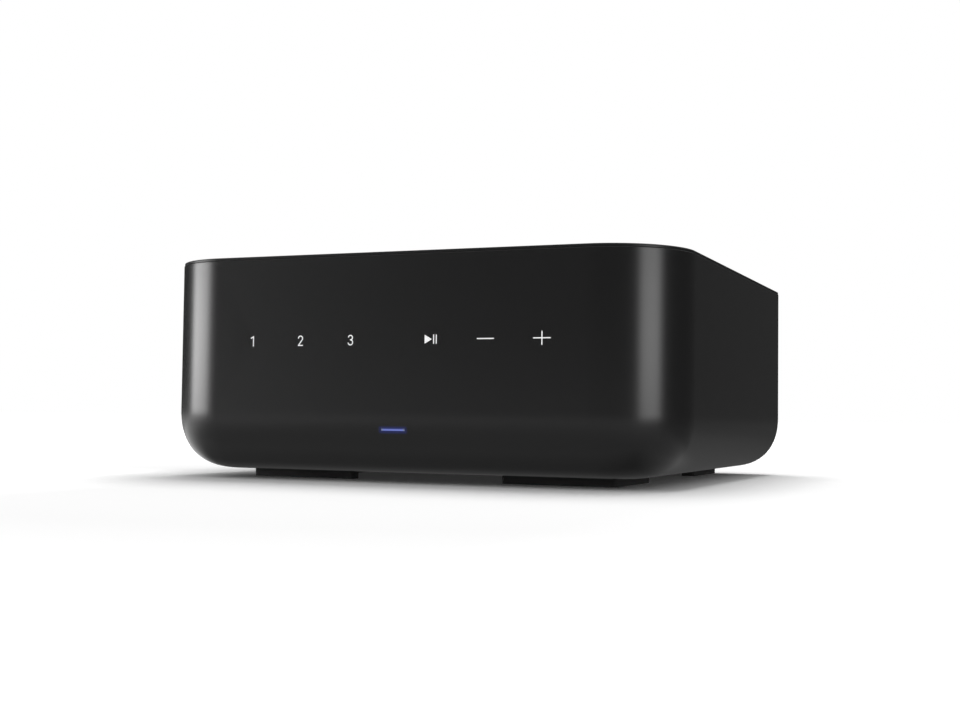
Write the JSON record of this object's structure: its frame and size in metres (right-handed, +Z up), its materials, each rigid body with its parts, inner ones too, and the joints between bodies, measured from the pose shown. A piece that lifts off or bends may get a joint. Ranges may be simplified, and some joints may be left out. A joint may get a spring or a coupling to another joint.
{
  "type": "streaming amplifier",
  "caption": "Compact box-shaped streaming amplifier with rounded front corners, touch symbols, a status lamp, pad feet and a rear socket panel.",
  "frame": {"origin": "on the floor, under the middle of the plan that the housing and the speaker posts fill", "axes": "+Z up, front faces -Y, +X to the right seen from the front"},
  "size_m": [0.217, 0.2154, 0.0876],
  "materials": {
    "housing_black": "fine matt moulded plastic",
    "lid_black": "matt moulded plastic",
    "panel_black": "fine matt paint",
    "foot_rubber": "matt",
    "symbol_white": "light-passing white",
    "lamp_clear": "clear, lit blue from behind",
    "plated_steel": "zinc plated sheet",
    "screw_steel": "plated",
    "screw_black": "black plated",
    "board_green": "solder mask",
    "chip_black": "moulded",
    "aluminium": "extruded",
    "capacitor_sleeve": "shrink sleeve",
    "ferrite": "fired",
    "copper_winding": "enamelled wire",
    "nickel": "bright",
    "gold": "gold plated",
    "black_plastic": "satin",
    "red_plastic": "satin",
    "white_plastic": "satin",
    "cable_black": "smooth",
    "ribbon_white": "flat cable"
  },
  "bodies": {
    "amplifier": {"housing": "housing_black", "top_cover": "lid_black", "rear_panel": "panel_black", "foot_front_left": "foot_rubber", "foot_front_right": "foot_rubber", "foot_rear_left": "foot_rubber", "foot_rear_right": "foot_rubber", "base_plate": "plated_steel", "front_symbols": "symbol_white", "touch_board": "board_green", "touch_ribbon": "ribbon_white", "lamp_light_guide": "lamp_clear", "lamp_board": "board_green", "main_board": "board_green", "amp_board": "board_green", "power_board": "board_green", "button_board": "board_green", "network_module": "nickel", "processor": "chip_black", "processor_heatsink": "aluminium", "small_capacitors": "capacitor_sleeve", "ethernet_socket": "nickel", "usb_socket": "nickel", "hdmi_socket": "nickel", "optical_socket": "black_plastic", "rca_block": "black_plastic", "rca_barrels": "gold", "rca_insert_white": "white_plastic", "rca_insert_red": "red_plastic", "rca_insert_sub": "black_plastic", "aerials": "cable_black", "button_switches": "black_plastic", "ac_inlet": "black_plastic", "line_choke": "copper_winding", "supply_capacitors": "capacitor_sleeve", "power_transformer": "ferrite", "power_heatsink": "aluminium", "amp_chips": "chip_black", "amp_heatsink": "aluminium", "output_inductors": "ferrite", "supply_leads": "cable_black", "speaker_leads": "cable_black", "post_bases_red": "red_plastic", "post_bases_black": "black_plastic", "post_studs": "gold", "post_nuts": "nickel", "hex_spacers": "nickel", "chassis_screws": "screw_steel", "panel_screws": "screw_black"},
    "post_1_bush": {"post_bush_1": "gold"},
    "post_2_bush": {"post_bush_2": "gold"},
    "post_3_bush": {"post_bush_3": "gold"},
    "post_4_bush": {"post_bush_4": "gold"},
    "post_1_cap": {"post_cap_1": "red_plastic"},
    "post_2_cap": {"post_cap_2": "black_plastic"},
    "post_3_cap": {"post_cap_3": "red_plastic"},
    "post_4_cap": {"post_cap_4": "black_plastic"},
    "connect_button": {"connect_button": "black_plastic"},
    "pairing_button": {"pairing_button": "black_plastic"},
    "optical_flap": {"optical_flap": "black_plastic"}
  },
  "joints": [
    {"name": "post_1_travel", "type": "slide", "parent": "amplifier", "child": "post_1_bush", "axis": [0, 1, 0], "range_m": [0, 0.004]},
    {"name": "post_1_turn", "type": "hinge", "parent": "post_1_bush", "child": "post_1_cap", "pos_m": [0.087, 0.09275, 0.062], "axis": [0, 1, 0], "range_deg": [0, 1800]},
    {"name": "post_2_travel", "type": "slide", "parent": "amplifier", "child": "post_2_bush", "axis": [0, 1, 0], "range_m": [0, 0.004]},
    {"name": "post_2_turn", "type": "hinge", "parent": "post_2_bush", "child": "post_2_cap", "pos_m": [0.068, 0.09275, 0.062], "axis": [0, 1, 0], "range_deg": [0, 1800]},
    {"name": "post_3_travel", "type": "slide", "parent": "amplifier", "child": "post_3_bush", "axis": [0, 1, 0], "range_m": [0, 0.004]},
    {"name": "post_3_turn", "type": "hinge", "parent": "post_3_bush", "child": "post_3_cap", "pos_m": [0.049, 0.09275, 0.062], "axis": [0, 1, 0], "range_deg": [0, 1800]},
    {"name": "post_4_travel", "type": "slide", "parent": "amplifier", "child": "post_4_bush", "axis": [0, 1, 0], "range_m": [0, 0.004]},
    {"name": "post_4_turn", "type": "hinge", "parent": "post_4_bush", "child": "post_4_cap", "pos_m": [0.03, 0.09275, 0.062], "axis": [0, 1, 0], "range_deg": [0, 1800]},
    {"name": "connect_button_press", "type": "slide", "parent": "amplifier", "child": "connect_button", "axis": [0, -1, 0], "range_m": [0, 0.0006], "stiffness_N_per_m": 300, "springref_m": -0.001},
    {"name": "pairing_button_press", "type": "slide", "parent": "amplifier", "child": "pairing_button", "axis": [0, -1, 0], "range_m": [0, 0.0006], "stiffness_N_per_m": 300, "springref_m": -0.001},
    {"name": "optical_flap_swing", "type": "hinge", "parent": "amplifier", "child": "optical_flap", "pos_m": [-0.0205, 0.08725, 0.02515], "axis": [-1, 0, 0], "range_deg": [0, 82], "stiffness_Nm_per_rad": 0.0004, "springref_deg": -28.65}
  ],
  "couplings": [
    {"joint": "post_1_turn", "follows": "post_1_travel", "rad_per_m": 7854},
    {"joint": "post_2_turn", "follows": "post_2_travel", "rad_per_m": 7854},
    {"joint": "post_3_turn", "follows": "post_3_travel", "rad_per_m": 7854},
    {"joint": "post_4_turn", "follows": "post_4_travel", "rad_per_m": 7854}
  ]
}
